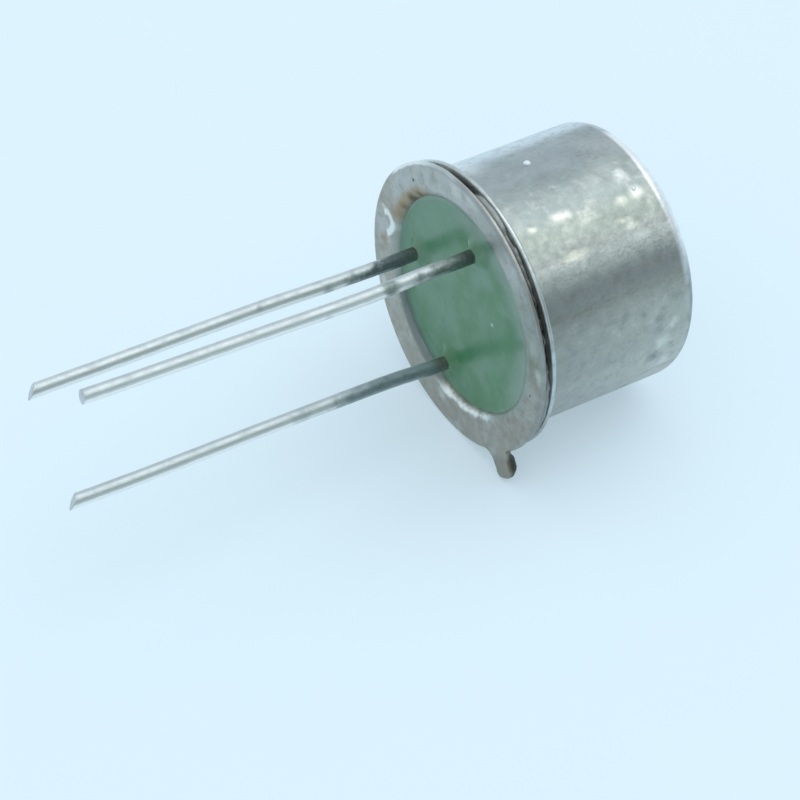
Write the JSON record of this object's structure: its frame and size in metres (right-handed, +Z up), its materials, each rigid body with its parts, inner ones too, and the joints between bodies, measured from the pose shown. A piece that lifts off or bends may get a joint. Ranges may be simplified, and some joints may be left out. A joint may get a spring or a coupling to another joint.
{
  "type": "thyristor",
  "caption": "Small thyristor in a round flanged metal can with a locating tab, a green glass seal and straight wire leads.",
  "frame": {"origin": "on the ground, under the middle of the part's box, with the part lying on its tab, its flange and the can's top corner", "axes": "+Z up, +X from the lead tips towards the closed end of the can, whose axis leans 5.3 degrees down that way"},
  "size_m": [0.0196, 0.0092, 0.0093],
  "materials": {
    "can_metal": "satin nickel plate, stained and scuffed",
    "header_metal": "dull oxidised nickel plate with rust-brown stains",
    "seal_glass": "glossy green sealing glass, cloudy",
    "lead_wire": "tinned, dark and oxidised near the glass",
    "solder": "dull",
    "molybdenum": "ground",
    "silicon": "polished, opaque",
    "chip_aluminium": "bright"
  },
  "bodies": {
    "root": {"can": "can_metal", "header": "header_metal", "glass_seal": "seal_glass", "cathode_lead": "lead_wire", "gate_lead": "lead_wire", "anode_lead": "lead_wire", "plate_solder": "solder", "base_plate": "molybdenum", "die_solder": "solder", "silicon_die": "silicon", "cathode_pad": "chip_aluminium", "gate_pad": "chip_aluminium", "cathode_wire": "chip_aluminium", "gate_wire": "chip_aluminium"}
  },
  "joints": []
}
